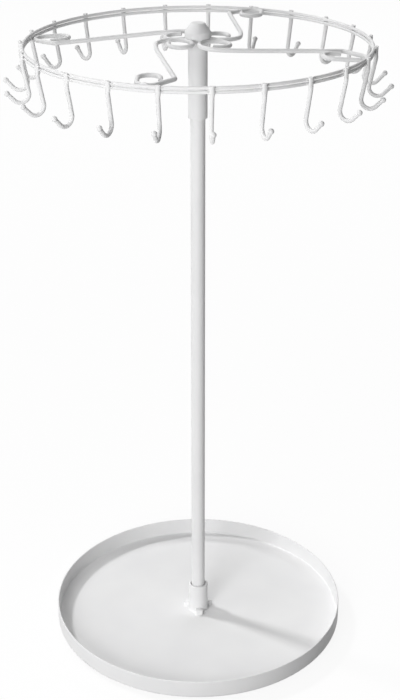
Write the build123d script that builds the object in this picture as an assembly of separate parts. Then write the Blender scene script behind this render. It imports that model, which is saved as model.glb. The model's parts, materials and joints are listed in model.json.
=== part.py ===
from build123d import *
import os
from math import asin, atan2, cos, degrees, radians, sin

# Jewellery display rack, in millimetres, with +Z up.
# A round tray on rubber pads carries a thin pole. A sleeve spins on the pole's top,
# and four scrolled wire arms on the sleeve hold a double wire ring with hooks all round it.
# The origin is on the pole's axis, on the surface that the rack stands on.

# Fits and cuts
run_clearance = 0.05        # radial gap between the bushes and the pole
thrust_gap = 0.1            # between the thrust ball and the cap that spins over it
seat_clearance = 0.02       # left between pieces that are pressed, screwed or welded together
overrun = 1.0               # how far a cut runs past the faces that it opens

# Tray and its pads
tray_diameter = 207.0
tray_height = 13.4
tray_sheet = 1.0
tray_bend_radius = 1.0      # inside the bend between the floor and the wall
rim_round_share = 0.4       # of the sheet
pad_diameter = 12.0
pad_height = 3.0
pad_inset = 17.5            # of the pads' middles from the tray's edge
pad_count = 4
pad_edge = 0.6

# Screw, washer and threaded insert that hold the pole on the tray
screw_diameter = 5.0
screw_hole_clearance = 0.25 # radial, in the tray and the washer
screw_head_diameter = 11.0
screw_head_height = 1.6
screw_head_edge = 0.4
screw_reach = 10.0          # into the insert
screw_key_width = 3.0
screw_key_depth = 1.0
washer_diameter = 16.0
washer_thickness = 0.8
insert_length = 14.0

# Socket that the pole stands in, with the tabs that it is welded down by
socket_height = 22.0
socket_clearance = 0.15     # radial, round the pole
socket_wall = 2.1
socket_mouth_share = 0.42   # of the wall that the mouth's slope takes
socket_mouth_depth = 2.5
socket_lip_share = 0.38     # of the wall that the lip's round takes
tab_count = 3
tab_first_angle = -84.0
tab_length = 3.8            # beyond the socket's outside
tab_width = 5.0
tab_height = 3.8
tab_round = 1.0

# Pole, and the plug and ball that the sleeve turns on
pole_diameter = 9.5
pole_wall = 1.0
plug_stem_length = 9.0
plug_head_height = 2.5
plug_head_inset = 0.3       # the plug's head stands inside the pole's outside by this
ball_diameter = 5.0
ball_rise = 0.5             # of the ball's centre above the plug's head

# Sleeve, its bushes and its cap
bush_wall = 0.5
sleeve_wall = 0.8
sleeve_length = 51.0
sleeve_round_share = 0.6    # of the sleeve's wall
bush_length = 8.0
lower_bush_inset = 1.5      # above the sleeve's lower end
upper_bush_inset = 4.0      # below the pole's top
cap_overhang = 2.1          # beyond the sleeve's outside
cap_height = 9.2
cap_brim_height = 3.6
cap_taper = 4.0             # by which the crown's radius narrows
cap_top_round = 1.8
cap_shoulder_round = 1.6
cap_spigot_length = 5.0

# Ring of two wires, one above the other
ring_diameter = 216.0       # to the middle of the wire
ring_wire = 2.0
ring_gap = 0.4
ring_height = 424.0         # of the middle of the two wires above the surface

# Scrolled arms from the sleeve to the ring
arm_wire = 2.7
arm_rise = 3.4              # of the wire at the sleeve above the middle of the ring
hub_loop_angle = 49.0       # from the arm's own direction, round the pole
hub_loop_gap = 1.3          # between the wires of two loops a quarter turn apart
hub_curl_gap = 4.7          # between the loop's curled end and the wire that leaves it
hub_curl_end_angle = 160.0
sway_radius = 90.0          # of the stretch between the hub loop and the elbow
elbow_radius = 2.9
elbow_inset = 20.0          # from the middle of the ring's wire
elbow_aside = 14.8
rim_loop_aside = 11.7       # of the rim loop's middle, beyond the elbow's
rim_loop_radius = 6.6       # of the two turns that the rim loop is made of
rim_loop_stretches = (8.0, 8.0, 8.0, 13.0)  # between the middles of these turns, in the order of arm_turns
rim_tail_length = 4.5
arm_turns = (0.0, 3.0, -5.5, 0.0)           # front, left, back, right: how each was set by hand
arm_on_upper_wire = (True, False, True, False)

# Hooks round the outside of the ring
hook_count = 23
hook_first_angle = -85.3
hook_wire = 2.6
hook_foot_width = 3.2       # of the flattened end that is welded to the ring
hook_foot_thickness = 2.2
hook_foot_rise = 0.5        # above the upper ring wire
hook_foot_tail = 0.3        # below the lower ring wire
hook_flare = 1.4            # height over which the round wire widens to the foot
hook_sink = 0.3             # how deep the foot beds into the ring wires
hook_knee_radius = 8.0
hook_lean = 11.0            # of the shank, inwards
hook_drop = 22.8            # from the middle of the ring to the middle of the bend
hook_bend_radius = 5.3
hook_bend_turn = 147.0
hook_tail_length = 6.4
hook_ball_diameter = 3.5

# Heights that follow from these
tray_bottom = pad_height
tray_floor = tray_bottom + tray_sheet
tray_rim = tray_bottom + tray_height
washer_bottom = tray_bottom - washer_thickness
socket_top = tray_floor + socket_height
arm_level = ring_height + arm_rise
sleeve_top = arm_level + arm_wire / 2 + seat_clearance
sleeve_bottom = sleeve_top - sleeve_length
spigot_bottom = sleeve_top - cap_spigot_length
ball_level = spigot_bottom - thrust_gap - ball_diameter / 2
plug_top = ball_level - ball_rise
pole_top = plug_top - plug_head_height

# Radii that follow from these
tray_radius = tray_diameter / 2
screw_hole_radius = screw_diameter / 2 + screw_hole_clearance
pole_radius = pole_diameter / 2
pole_bore_radius = pole_radius - pole_wall
bush_bore_radius = pole_radius + run_clearance
bush_radius = bush_bore_radius + bush_wall
sleeve_bore_radius = bush_radius + seat_clearance
sleeve_radius = sleeve_bore_radius + sleeve_wall
ring_radius = ring_diameter / 2
ring_pitch = ring_wire + ring_gap

on_base = (Align.CENTER, Align.CENTER, Align.MIN)


def post(radius, low, high):
    """An upright cylinder on the pole's axis, between two heights."""
    return Pos(0, 0, low) * Cylinder(radius, high - low, align=on_base)


def tube(outer, inner, low, high):
    """An upright tube on the pole's axis, between two heights."""
    return post(outer, low, high) - post(inner, low - overrun, high + overrun)


def lowest_edges(solid):
    return solid.edges().group_by(Axis.Z)[0]


def highest_edges(solid):
    return solid.edges().group_by(Axis.Z)[-1]


def around(solid, count, first_angle=0.0):
    """Copies of a solid, spaced evenly round the pole's axis."""
    return [Rot(0, 0, first_angle + k * 360 / count) * solid for k in range(count)]


# Base


def make_tray():
    outside = post(tray_radius, tray_bottom, tray_rim)
    outside = fillet(lowest_edges(outside), tray_bend_radius + tray_sheet)
    hollow = post(tray_radius - tray_sheet, tray_floor, tray_rim + overrun)
    hollow = fillet(lowest_edges(hollow), tray_bend_radius)
    tray = outside - hollow
    tray = fillet(highest_edges(tray), rim_round_share * tray_sheet)
    return tray - post(screw_hole_radius, tray_bottom - overrun, tray_floor + overrun)


def make_foot_pads():
    pad = post(pad_diameter / 2, 0, pad_height)
    pad = chamfer(lowest_edges(pad), pad_edge)
    pad = Pos(tray_radius - pad_inset, 0, 0) * pad
    return Compound(around(pad, pad_count, 180 / pad_count))


def make_base_washer():
    return tube(washer_diameter / 2, screw_hole_radius, washer_bottom, tray_bottom)


def make_base_screw():
    head_bottom = washer_bottom - screw_head_height
    head = post(screw_head_diameter / 2, head_bottom, washer_bottom)
    head = fillet(lowest_edges(head), screw_head_edge)
    shank = post(screw_diameter / 2, washer_bottom, tray_floor + screw_reach)
    key = RegularPolygon(screw_key_width / 2, 6, major_radius=False)
    recess = Pos(0, 0, head_bottom) * extrude(key, screw_key_depth)
    return head + shank - recess


def make_pole_insert():
    return tube(
        pole_bore_radius - seat_clearance,
        screw_diameter / 2 + seat_clearance,
        tray_floor,
        tray_floor + insert_length,
    )


def make_pole_socket():
    bore_radius = pole_radius + socket_clearance
    socket_radius = bore_radius + socket_wall
    mouth_radius = bore_radius + socket_mouth_share * socket_wall
    socket = post(socket_radius, tray_floor, socket_top)
    socket = fillet(highest_edges(socket), socket_lip_share * socket_wall)
    tab_reach = socket_radius + tab_length
    tab = Box(tab_reach, tab_width, tab_height, align=(Align.MIN, Align.CENTER, Align.MIN))
    tab = fillet(tab.faces().sort_by(Axis.X)[-1].edges() - lowest_edges(tab), tab_round)
    for placed in around(Pos(0, 0, tray_floor) * tab, tab_count, tab_first_angle):
        socket += placed
    socket -= post(bore_radius, tray_floor - overrun, socket_top + overrun)
    mouth = Cone(bore_radius, mouth_radius, socket_mouth_depth, align=on_base)
    return socket - Pos(0, 0, socket_top - socket_mouth_depth) * mouth


def make_pole():
    return tube(pole_radius, pole_bore_radius, tray_floor, pole_top)


def make_pivot_plug():
    stem = post(pole_bore_radius - seat_clearance, pole_top - plug_stem_length, pole_top)
    head = post(pole_radius - plug_head_inset, pole_top, plug_top)
    cup = Pos(0, 0, ball_level) * Sphere(ball_diameter / 2 + seat_clearance)
    return stem + head - cup


def make_thrust_ball():
    return Pos(0, 0, ball_level) * Sphere(ball_diameter / 2)


# Sleeve that spins on the pole


def make_bush(bottom):
    return tube(bush_radius, bush_bore_radius, bottom, bottom + bush_length)


def make_sleeve():
    sleeve = tube(sleeve_radius, sleeve_bore_radius, sleeve_bottom, sleeve_top)
    rim = lowest_edges(sleeve).sort_by(SortBy.RADIUS)[-1]
    return fillet(rim, sleeve_round_share * sleeve_wall)


def make_cap():
    cap_radius = sleeve_radius + cap_overhang
    shoulder = sleeve_top + cap_brim_height
    brim = post(cap_radius, sleeve_top, shoulder)
    crown = Cone(cap_radius, cap_radius - cap_taper, cap_height - cap_brim_height, align=on_base)
    cap = brim + Pos(0, 0, shoulder) * crown
    cap = fillet(highest_edges(cap), cap_top_round)
    circles = cap.edges().filter_by(GeomType.CIRCLE)
    cap = fillet(circles.filter_by_position(Axis.Z, shoulder, shoulder), cap_shoulder_round)
    return cap + post(sleeve_bore_radius - seat_clearance, spigot_bottom, sleeve_top)


# Ring and arms


def make_ring(level):
    return Pos(0, 0, level) * Torus(ring_radius, ring_wire / 2)


def tangent_line(start, end):
    """The line that leaves one turn and joins the next.

    A turn is (x, y, radius), with the radius negative where the wire turns clockwise.
    """
    (x, y, from_radius), (next_x, next_y, to_radius) = start, end
    span = ((next_x - x) ** 2 + (next_y - y) ** 2) ** 0.5
    heading = atan2(next_y - y, next_x - x) - asin((to_radius - from_radius) / span)
    left_x, left_y = -sin(heading), cos(heading)
    leaves = (x - from_radius * left_x, y - from_radius * left_y)
    joins = (next_x - to_radius * left_x, next_y - to_radius * left_y)
    return leaves, joins


def turn_arc(turn, begins, ends):
    """The arc of a turn between two of its points, in the turn's own sense."""
    x, y, radius = turn
    from_angle = degrees(atan2(begins[1] - y, begins[0] - x))
    to_angle = degrees(atan2(ends[1] - y, ends[0] - x))
    if radius > 0:
        size = (to_angle - from_angle) % 360
    else:
        size = -((from_angle - to_angle) % 360)
    return CenterArc((x, y), abs(radius), from_angle, size)


def point_on(turn, angle):
    x, y, radius = turn
    return (x + abs(radius) * cos(radians(angle)), y + abs(radius) * sin(radians(angle)))


def make_arm(end_level, stretch):
    """The arm that points to the front, before it is set round the pole.

    The wire curls beside the sleeve, sways out to an elbow, turns back along the inside of the ring
    and ends in a long loop.
    """
    half_wire = arm_wire / 2
    hub_seat = sleeve_radius + seat_clearance + half_wire
    quarter_chord = 2 ** 0.5    # between two places a quarter turn apart, at a distance of 1
    hub_loop_radius = (hub_seat * quarter_chord - arm_wire - hub_loop_gap) / (2 - quarter_chord)
    hub_curl_radius = hub_loop_radius - (arm_wire + hub_curl_gap) / 2
    hub_out = hub_seat + hub_loop_radius
    hub_x = -hub_out * sin(radians(hub_loop_angle))
    hub_y = -hub_out * cos(radians(hub_loop_angle))
    rim_out = ring_radius - ring_wire / 2 - seat_clearance - half_wire - rim_loop_radius
    rim_x = -elbow_aside - rim_loop_aside
    rim_y = -((rim_out**2 - rim_x**2) ** 0.5)

    hub_curl = (hub_x + hub_loop_radius - hub_curl_radius, hub_y, hub_curl_radius)
    hub_loop = (hub_x, hub_y, hub_loop_radius)
    sway = (hub_x - hub_loop_radius + sway_radius, hub_y, sway_radius)
    elbow = (-elbow_aside, elbow_inset - ring_radius, -elbow_radius)
    rim_loop = (rim_x, rim_y, -rim_loop_radius)
    rim_return = (rim_x, rim_y + stretch, -rim_loop_radius)

    hub_begins = point_on(hub_curl, hub_curl_end_angle)
    hub_widens = point_on(hub_loop, 0)
    hub_leaves = point_on(hub_loop, 180)
    sway_leaves, elbow_joins = tangent_line(sway, elbow)
    elbow_leaves, rim_joins = tangent_line(elbow, rim_loop)
    rim_leaves, return_joins = tangent_line(rim_loop, rim_return)
    return_leaves = point_on(rim_return, 0)
    tail_ends = (return_leaves[0], return_leaves[1] - rim_tail_length)
    path = Wire(
        [
            turn_arc(hub_curl, hub_begins, hub_widens),
            turn_arc(hub_loop, hub_widens, hub_leaves),
            turn_arc(sway, hub_leaves, sway_leaves),
            Line(sway_leaves, elbow_joins),
            turn_arc(elbow, elbow_joins, elbow_leaves),
            Line(elbow_leaves, rim_joins),
            turn_arc(rim_loop, rim_joins, rim_leaves),
            Line(rim_leaves, return_joins),
            turn_arc(rim_return, return_joins, return_leaves),
            Line(return_leaves, tail_ends),
        ]
    )
    section = Plane(origin=path @ 0, z_dir=path % 0) * Circle(half_wire)
    wire = sweep(section, path=path)

    near_y = hub_y + hub_loop_radius
    dip = degrees(asin((arm_level - end_level) / (near_y - rim_y)))
    return Pos(0, near_y, arm_level) * Rot(dip, 0, 0) * Pos(0, -near_y, 0) * wire


def make_arms():
    arms = {}
    settings = zip(arm_turns, arm_on_upper_wire, rim_loop_stretches)
    for number, (turn, upper, stretch) in enumerate(settings):
        side = 1 if upper else -1
        arm = make_arm(ring_height + side * ring_pitch / 2, stretch)
        arms[f"scroll_arm_{number + 1}"] = Rot(0, 0, turn - number * 90) * arm
    return arms


# Hooks


def make_hook():
    """The hook on the +X side of the ring."""
    half_wire = hook_wire / 2
    foot_axis = ring_radius + ring_wire / 2 + hook_foot_thickness / 2 - hook_sink
    band_half = (ring_pitch + ring_wire) / 2
    foot_top = band_half + hook_foot_rise
    foot_bottom = -band_half - hook_foot_tail
    shank_top = foot_bottom - hook_flare

    knee = JernArc((foot_axis, shank_top), (0, -1), hook_knee_radius, -hook_lean)
    down = knee % 1
    knee_end = knee @ 1
    bend_start = -hook_drop + hook_bend_radius * sin(radians(hook_lean))
    shank = Line(knee_end, knee_end + down * ((bend_start - knee_end.Y) / down.Y))
    bend = JernArc(shank @ 1, down, hook_bend_radius, hook_bend_turn)
    tail = Line(bend @ 1, bend @ 1 + (bend % 1) * hook_tail_length)
    path = Plane.XZ * Wire([knee, shank, bend, tail])
    wire = sweep(Plane(origin=path @ 0, z_dir=path % 0) * Circle(half_wire), path=path)
    ball = Pos(path @ 1) * Sphere(hook_ball_diameter / 2)

    round_end = Pos(foot_axis, 0, shank_top) * Circle(half_wire)
    flat_end = Pos(foot_axis, 0, foot_bottom) * Ellipse(hook_foot_thickness / 2, hook_foot_width / 2)
    flare = loft([round_end, flat_end], ruled=True)
    foot = extrude(flat_end, foot_top - foot_bottom)
    hook = wire + ball + flare + foot
    for side in (-1, 1):
        seat = Torus(ring_radius, ring_wire / 2 + seat_clearance)
        hook -= Pos(0, 0, side * ring_pitch / 2) * seat
    return Pos(0, 0, ring_height) * hook


def make_hooks():
    copies = around(make_hook(), hook_count, hook_first_angle)
    return {f"hook_{number + 1:02d}": hook for number, hook in enumerate(copies)}


nodes = {
    "tray": make_tray(),
    "foot_pads": make_foot_pads(),
    "base_washer": make_base_washer(),
    "base_screw": make_base_screw(),
    "pole_socket": make_pole_socket(),
    "pole": make_pole(),
    "pole_insert": make_pole_insert(),
    "pivot_plug": make_pivot_plug(),
    "thrust_ball": make_thrust_ball(),
    "sleeve": make_sleeve(),
    "lower_bush": make_bush(sleeve_bottom + lower_bush_inset),
    "upper_bush": make_bush(pole_top - upper_bush_inset - bush_length),
    "cap": make_cap(),
    "upper_ring": make_ring(ring_height + ring_pitch / 2),
    "lower_ring": make_ring(ring_height - ring_pitch / 2),
}
nodes.update(make_arms())
nodes.update(make_hooks())

os.makedirs("parts", exist_ok=True)
for name, shape in nodes.items():
    export_step(shape, f"parts/{name}.step")
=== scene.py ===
import json
from math import cos, pi, radians, sin, tau

import bmesh
import bpy
from mathutils import Matrix, Vector, noise


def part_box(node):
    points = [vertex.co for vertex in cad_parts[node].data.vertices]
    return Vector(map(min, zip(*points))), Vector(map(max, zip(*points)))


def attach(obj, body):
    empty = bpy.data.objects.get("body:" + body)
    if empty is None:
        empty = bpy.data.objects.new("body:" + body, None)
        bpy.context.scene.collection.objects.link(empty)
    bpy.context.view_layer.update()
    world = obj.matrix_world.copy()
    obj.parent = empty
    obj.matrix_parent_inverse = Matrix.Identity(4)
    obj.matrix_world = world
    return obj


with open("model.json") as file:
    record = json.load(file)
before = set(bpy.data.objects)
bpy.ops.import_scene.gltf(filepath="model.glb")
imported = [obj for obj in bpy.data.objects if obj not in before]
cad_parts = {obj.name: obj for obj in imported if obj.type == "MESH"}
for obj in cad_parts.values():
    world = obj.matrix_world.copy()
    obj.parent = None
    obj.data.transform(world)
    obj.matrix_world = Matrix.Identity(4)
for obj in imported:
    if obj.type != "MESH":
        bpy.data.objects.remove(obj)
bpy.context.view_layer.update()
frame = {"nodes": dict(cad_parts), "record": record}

# A white jewellery rack: weld beads and finishes on the CAD model, a pale floor, studio light
# and a camera. Lengths are in metres and angles in degrees.

# Camera
image_height_px = 700
focal_length_px = 1416.0
sensor_size_mm = 36.0
camera_place = (0.0097, -0.8724, 0.6261)
camera_pitch = 25.2         # below the horizon
camera_turn = 0.55          # to the left

# Light: two lamps far off, whose angles set how soft their shadows are, a softbox in front and a
# long strip behind
studio_strength = 0.06      # of the light from all round
lamps = {                   # strength, angle and where the light comes from
    "key": (1.28, 7.0, (-0.590, 0.330, 0.737)),
    "fill": (0.45, 60.0, (-0.369, -0.439, 0.819)),
}
softbox_power = 9.2
softbox_size = 0.6
softbox_place = (-0.43, -1.06, 0.47)
softbox_aim = (0.0, 0.0, 0.2)
strip_power = 38.0
strip_size = (5.0, 0.4)
strip_place = (0.078, 2.228, 2.007)
strip_aim = (0.0, 0.0, 0.1)

# Background, plain white to the camera
white = (1.0, 1.0, 1.0, 1.0)
white_strength = 1.0
floor_size = 12.0
floor_squares = 8           # along each side
floor_colour = (0.48, 0.48, 0.48, 1.0)      # that lights the rack from below
floor_white_share = 0.9     # of the seen floor that is plain white; the rest keeps the rack's shadow

# Finishes: the noise that each follows as features per metre and detail, its colours and
# roughness from the noise's low end to its high end, and its bump as strength and depth
noise_ends = (0.3, 0.7)     # between which the noise mostly lies
coat_drift = (24.0, 2.0)
coat_colours = ((0.80, 0.80, 0.805), (0.84, 0.84, 0.84))
coat_peel = (1000.0, 2.0)
coat_roughness = (0.44, 0.54)
coat_bump = (0.05, 0.00004)
coat_specular = 0.25
rubber_grain = (1500.0, 4.0)
rubber_colours = ((0.075, 0.075, 0.078), (0.105, 0.105, 0.108))
rubber_roughness = (0.72, 0.90)
rubber_bump = (0.25, 0.00008)
plating_rings = (260.0, 3.0)
plating_stretch = (0.4, 0.4, 9.0)           # of the noise, which makes rings of it
plating_colours = ((0.50, 0.51, 0.54), (0.66, 0.67, 0.69))
plating_roughness = (0.28, 0.42)
plating_bump = (0.10, 0.00003)
ball_smear = (300.0, 2.0)
ball_colours = ((0.66, 0.67, 0.69), (0.74, 0.75, 0.77))
ball_roughness = (0.06, 0.14)
nylon_cloud = (200.0, 3.0)
nylon_colours = ((0.68, 0.67, 0.61), (0.76, 0.75, 0.70))
nylon_roughness = (0.42, 0.56)
nylon_glow_share = 0.08     # of the light that goes in and comes out again
nylon_glow_reach = (0.001, 0.001, 0.0008)

# Where the CAD model's wires and tabs meet what they are welded to
hook_first_angle = -85.3
hook_foot_half_width = 0.0016
arm_wire = 0.0027
arm_front_angle = -90.0     # from which the arms are counted
arm_angles = (0.0, -87.0, -185.5, -270.0)
arm_rings = ("upper_ring", "lower_ring", "upper_ring", "lower_ring")
hub_loop_angle = 49.0
rim_loop_angle = 15.5
socket_radius = 0.007
tab_angles = (-84.0, 36.0, 156.0)
tab_reach = 0.0108
tab_half_width = 0.0025

# Weld beads: half length, half width and half height
foot_bead = (0.0016, 0.0005, 0.0006)
rim_bead = (0.0024, 0.0009, 0.0010)
hub_bead = (0.0010, 0.0011, 0.0026)
tab_side_bead = (0.0019, 0.0007, 0.0007)
tab_end_bead = (0.0024, 0.0007, 0.0007)
bead_subdivisions = 3
bead_ripple_share = 0.09
bead_ripples = 5
bead_rough_share = 0.05
bead_rough_scale = 900.0

# The bead round the socket
socket_bead_radius = 0.0007
socket_bead_ripples = 30
socket_bead_steps = 96
socket_bead_sides = 12


# Materials


def node_material(name):
    """A new material with its node tree and its shader."""
    material = bpy.data.materials.new(name)
    material.use_nodes = True
    tree = material.node_tree
    shader = tree.nodes["Principled BSDF"]
    return material, tree, shader


def noise_texture(tree, settings, stretch=(1.0, 1.0, 1.0)):
    """Noise fixed to the object."""
    scale, detail = settings
    place = tree.nodes.new("ShaderNodeTexCoord")
    mapping = tree.nodes.new("ShaderNodeMapping")
    mapping.inputs["Scale"].default_value = stretch
    texture = tree.nodes.new("ShaderNodeTexNoise")
    texture.inputs["Scale"].default_value = scale
    texture.inputs["Detail"].default_value = detail
    tree.links.new(place.outputs["Object"], mapping.inputs["Vector"])
    tree.links.new(mapping.outputs["Vector"], texture.inputs["Vector"])
    return texture.outputs["Fac"]


def spread_colours(tree, source, colours, target):
    """Colours along a source value, for a shader's socket."""
    node = tree.nodes.new("ShaderNodeValToRGB")
    for element, end, colour in zip(node.color_ramp.elements, noise_ends, colours):
        element.position = end
        element.color = (*colour, 1.0)
    tree.links.new(source, node.inputs["Fac"])
    tree.links.new(node.outputs["Color"], target)


def spread_values(tree, source, values, target):
    """Values along a source value, for a shader's socket."""
    node = tree.nodes.new("ShaderNodeMapRange")
    ends = ("From Min", "From Max", "To Min", "To Max")
    for end, value in zip(ends, (*noise_ends, *values)):
        node.inputs[end].default_value = value
    tree.links.new(source, node.inputs["Value"])
    tree.links.new(node.outputs["Result"], target)


def add_bump(tree, source, settings, target):
    """Bumps along a source value, for a shader's socket."""
    strength, depth = settings
    node = tree.nodes.new("ShaderNodeBump")
    node.inputs["Strength"].default_value = strength
    node.inputs["Distance"].default_value = depth
    tree.links.new(source, node.inputs["Height"])
    tree.links.new(node.outputs["Normal"], target)


def powder_coat():
    """Smooth white powder coat, slightly glossy, with the orange peel of a sprayed coat."""
    material, tree, shader = node_material("white_powder_coat")
    drift = noise_texture(tree, coat_drift)
    peel = noise_texture(tree, coat_peel)
    spread_colours(tree, drift, coat_colours, shader.inputs["Base Color"])
    spread_values(tree, peel, coat_roughness, shader.inputs["Roughness"])
    add_bump(tree, peel, coat_bump, shader.inputs["Normal"])
    shader.inputs["Specular IOR Level"].default_value = coat_specular
    return material


def rubber():
    """Dull grey rubber with a fine grain."""
    material, tree, shader = node_material("grey_rubber")
    grain = noise_texture(tree, rubber_grain)
    spread_colours(tree, grain, rubber_colours, shader.inputs["Base Color"])
    spread_values(tree, grain, rubber_roughness, shader.inputs["Roughness"])
    add_bump(tree, grain, rubber_bump, shader.inputs["Normal"])
    return material


def plated_steel():
    """Zinc-plated steel, with the fine rings that turning leaves."""
    material, tree, shader = node_material("plated_steel")
    rings = noise_texture(tree, plating_rings, plating_stretch)
    spread_colours(tree, rings, plating_colours, shader.inputs["Base Color"])
    spread_values(tree, rings, plating_roughness, shader.inputs["Roughness"])
    add_bump(tree, rings, plating_bump, shader.inputs["Normal"])
    shader.inputs["Metallic"].default_value = 1.0
    return material


def bearing_steel():
    """Polished steel with a faint smear of grease."""
    material, tree, shader = node_material("bearing_steel")
    smear = noise_texture(tree, ball_smear)
    spread_colours(tree, smear, ball_colours, shader.inputs["Base Color"])
    spread_values(tree, smear, ball_roughness, shader.inputs["Roughness"])
    shader.inputs["Metallic"].default_value = 1.0
    return material


def nylon():
    """Undyed nylon, a little cloudy."""
    material, tree, shader = node_material("natural_nylon")
    cloud = noise_texture(tree, nylon_cloud)
    spread_colours(tree, cloud, nylon_colours, shader.inputs["Base Color"])
    spread_values(tree, cloud, nylon_roughness, shader.inputs["Roughness"])
    shader.inputs["Subsurface Weight"].default_value = nylon_glow_share
    shader.inputs["Subsurface Radius"].default_value = nylon_glow_reach
    return material


coat = powder_coat()
finishes = {
    "white_coat": coat,
    "rubber": rubber(),
    "steel": plated_steel(),
    "bearing_steel": bearing_steel(),
    "bush_plastic": nylon(),
}
for part in frame["record"]["subparts"]:
    slots = frame["nodes"][part["node"]].data.materials
    slots.clear()
    slots.append(finishes[part["material_slot"]])


# Weld beads

upwards = Vector((0.0, 0.0, 1.0))


def add_bead(mesh, place, along, out, half_sizes):
    """A rippled blob of weld, long in one direction and proud in another."""
    long_axis = Vector(along).normalized()
    out_axis = (Vector(out) - long_axis * Vector(out).dot(long_axis)).normalized()
    side_axis = out_axis.cross(long_axis)
    turn = Matrix((long_axis, side_axis, out_axis)).transposed()
    half_length, half_width, half_height = half_sizes
    made = bmesh.ops.create_icosphere(mesh, subdivisions=bead_subdivisions, radius=1.0)
    for vertex in made["verts"]:
        unit = vertex.co.copy()
        ripple = 1 + bead_ripple_share * cos(bead_ripples * pi * unit.x)
        wide = unit.y * half_width * ripple
        high = unit.z * half_height * ripple
        shaped = Vector((unit.x * half_length, wide, high))
        point = Vector(place) + turn @ shaped
        rough = noise.noise(point * bead_rough_scale)
        vertex.co = point + (turn @ unit) * (rough * bead_rough_share * half_width)


def add_socket_bead(mesh, level):
    """A rippled bead of weld round the foot of the socket."""
    rows = []
    for step in range(socket_bead_steps):
        angle = tau * step / socket_bead_steps
        bead_radius = socket_bead_radius * (1 + bead_ripple_share * cos(socket_bead_ripples * angle))
        row = []
        for side in range(socket_bead_sides):
            turn = tau * side / socket_bead_sides
            out = socket_radius + bead_radius * cos(turn)
            up = level + bead_radius * sin(turn)
            row.append(mesh.verts.new((out * cos(angle), out * sin(angle), up)))
        rows.append(row)
    for this_row, next_row in zip(rows, rows[1:] + rows[:1]):
        for side in range(socket_bead_sides):
            after = (side + 1) % socket_bead_sides
            mesh.faces.new((this_row[side], next_row[side], next_row[after], this_row[after]))


def finish_welds(name, mesh, body):
    """Turns the beads into one smooth, coated piece that rides on a body."""
    data = bpy.data.meshes.new(name)
    mesh.to_mesh(data)
    mesh.free()
    for face in data.polygons:
        face.use_smooth = True
    data.materials.append(coat)
    piece = bpy.data.objects.new(name, data)
    bpy.context.scene.collection.objects.link(piece)
    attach(piece, body)


def round_pole(angle, radius, level):
    """A point by its angle round the pole's axis, its distance from it and its height."""
    return Vector((radius * cos(radians(angle)), radius * sin(radians(angle)), level))


def outwards(angle):
    """The direction away from the pole's axis."""
    return round_pole(angle, 1.0, 0.0)


def sideways(angle):
    """The direction round the pole's axis."""
    out = outwards(angle)
    return Vector((-out.y, out.x, 0.0))


def ring_sizes(ring):
    """The radius of a ring and of its wire, and the height of the wire's middle."""
    low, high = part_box(ring)
    wire_radius = (high.z - low.z) / 2
    return high.x - wire_radius, wire_radius, low.z + wire_radius


def weld_hooks():
    """Beads on both sides of each hook's foot, on both ring wires."""
    mesh = bmesh.new()
    hooks = [node for node in frame["nodes"] if node.startswith("hook_")]
    rings = [ring_sizes("lower_ring"), ring_sizes("upper_ring")]
    for number in range(len(hooks)):
        angle = hook_first_angle + number * 360 / len(hooks)
        out = outwards(angle)
        across = sideways(angle)
        for side in (-across, across):
            for ring_radius, wire_radius, level in rings:
                touch = round_pole(angle, ring_radius + wire_radius, level)
                add_bead(mesh, touch + side * hook_foot_half_width, side, out, foot_bead)
    finish_welds("hook_welds", mesh, "carousel")


def weld_arms():
    """Beads above and below each arm at the ring, and on both sides of it at the sleeve."""
    mesh = bmesh.new()
    half_height = rim_bead[2]
    sleeve_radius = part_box("sleeve")[1].x
    arm_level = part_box("scroll_arm_1")[1].z - arm_wire / 2
    for turn, ring in zip(arm_angles, arm_rings):
        ring_radius, wire_radius, level = ring_sizes(ring)
        rim_angle = arm_front_angle + turn - rim_loop_angle
        hub_angle = arm_front_angle + turn - hub_loop_angle
        rim_touch = round_pole(rim_angle, ring_radius - wire_radius, level)
        hub_touch = round_pole(hub_angle, sleeve_radius, arm_level)
        along_ring = sideways(rim_angle)
        along_sleeve = sideways(hub_angle)
        for side in (-upwards, upwards):
            add_bead(mesh, rim_touch + side * half_height, along_ring, upwards, rim_bead)
        for side in (-along_sleeve, along_sleeve):
            add_bead(mesh, hub_touch + side * (arm_wire / 2), along_sleeve, upwards, hub_bead)
    finish_welds("arm_welds", mesh, "carousel")


def weld_socket():
    """A bead round the socket, and beads round its tabs."""
    mesh = bmesh.new()
    tray_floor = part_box("pole_socket")[0].z
    add_socket_bead(mesh, tray_floor)
    for angle in tab_angles:
        out = outwards(angle)
        across = sideways(angle)
        tab_middle = round_pole(angle, (socket_radius + tab_reach) / 2, tray_floor)
        tab_end = round_pole(angle, tab_reach, tray_floor)
        for side in (-across, across):
            add_bead(mesh, tab_middle + side * tab_half_width, out, upwards, tab_side_bead)
        add_bead(mesh, tab_end, across, upwards, tab_end_bead)
    finish_welds("socket_weld", mesh, "base")


weld_hooks()
weld_arms()
weld_socket()


# Floor, world, light and camera


def seen_rays(tree):
    """A value that is 1 for what the camera sees, straight or by reflection."""
    path = tree.nodes.new("ShaderNodeLightPath")
    value = path.outputs["Is Camera Ray"]
    for ray in ("Is Glossy Ray", "Is Transmission Ray"):
        largest = tree.nodes.new("ShaderNodeMath")
        largest.operation = "MAXIMUM"
        tree.links.new(value, largest.inputs[0])
        tree.links.new(path.outputs[ray], largest.inputs[1])
        value = largest.outputs["Value"]
    return value


def shading(tree, kind, colour, strength=None):
    """The output of a shader of one colour, and of one strength where it has one."""
    node = tree.nodes.new(kind)
    node.inputs["Color"].default_value = colour
    if strength is not None:
        node.inputs["Strength"].default_value = strength
    return node.outputs[0]


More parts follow.
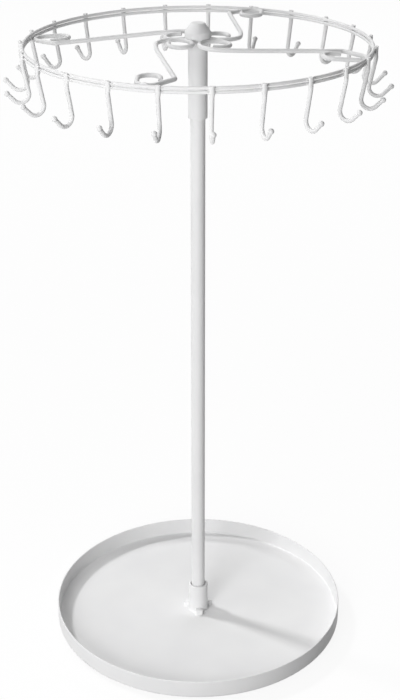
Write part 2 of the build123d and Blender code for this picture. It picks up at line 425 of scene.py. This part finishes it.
def choose_seen(tree, unseen, seen, output_kind):
    """Shows one shader to the camera, and lights the rack with another."""
    choose = tree.nodes.new("ShaderNodeMixShader")
    output = tree.nodes.new(output_kind)
    tree.links.new(seen_rays(tree), choose.inputs["Fac"])
    tree.links.new(unseen, choose.inputs[1])
    tree.links.new(seen, choose.inputs[2])
    tree.links.new(choose.outputs["Shader"], output.inputs["Surface"])


def floor_material():
    """Grey for the light that it gives back, and nearly plain white to the camera."""
    material = bpy.data.materials.new("pale_floor")
    material.use_nodes = True
    tree = material.node_tree
    tree.nodes.clear()
    seen = tree.nodes.new("ShaderNodeMixShader")
    seen.inputs["Fac"].default_value = floor_white_share
    tree.links.new(shading(tree, "ShaderNodeBsdfDiffuse", white), seen.inputs[1])
    tree.links.new(shading(tree, "ShaderNodeEmission", white, white_strength), seen.inputs[2])
    unseen = shading(tree, "ShaderNodeBsdfDiffuse", floor_colour)
    choose_seen(tree, unseen, seen.outputs["Shader"], "ShaderNodeOutputMaterial")
    return material


def make_floor():
    mesh = bmesh.new()
    bmesh.ops.create_grid(mesh, x_segments=floor_squares, y_segments=floor_squares, size=floor_size / 2)
    data = bpy.data.meshes.new("floor")
    mesh.to_mesh(data)
    mesh.free()
    data.materials.append(floor_material())
    floor = bpy.data.objects.new("floor", data)
    bpy.context.scene.collection.objects.link(floor)


def make_world():
    """Dim light from all round, and plain white to the camera."""
    world = bpy.data.worlds.new("studio")
    world.use_nodes = True
    tree = world.node_tree
    tree.nodes.clear()
    unseen = shading(tree, "ShaderNodeBackground", white, studio_strength)
    seen = shading(tree, "ShaderNodeBackground", white, white_strength)
    choose_seen(tree, unseen, seen, "ShaderNodeOutputWorld")
    bpy.context.scene.world = world


def add_light(lamp, strength, place, aim=(0.0, 0.0, 0.0)):
    """A lamp at a place, turned to what it lights."""
    lamp.energy = strength
    light = bpy.data.objects.new(lamp.name, lamp)
    bpy.context.scene.collection.objects.link(light)
    light.location = place
    light.rotation_mode = "QUATERNION"
    light.rotation_quaternion = (Vector(place) - Vector(aim)).to_track_quat("Z", "Y")


def make_lights():
    for name, (strength, angle, direction) in lamps.items():
        lamp = bpy.data.lights.new(name, "SUN")
        lamp.angle = radians(angle)
        add_light(lamp, strength, direction)
    softbox = bpy.data.lights.new("softbox", "AREA")
    softbox.shape = "DISK"
    softbox.size = softbox_size
    add_light(softbox, softbox_power, softbox_place, softbox_aim)
    strip = bpy.data.lights.new("strip", "AREA")
    strip.shape = "RECTANGLE"
    strip.size, strip.size_y = strip_size
    add_light(strip, strip_power, strip_place, strip_aim)


def make_camera():
    data = bpy.data.cameras.new("camera")
    data.sensor_width = sensor_size_mm
    data.lens = focal_length_px / image_height_px * sensor_size_mm
    camera = bpy.data.objects.new("camera", data)
    camera.location = camera_place
    camera.rotation_euler = (radians(90 - camera_pitch), 0.0, radians(camera_turn))
    bpy.context.scene.collection.objects.link(camera)
    bpy.context.scene.camera = camera


make_floor()
make_world()
make_lights()
make_camera()
bpy.context.scene.view_settings.view_transform = "Standard"
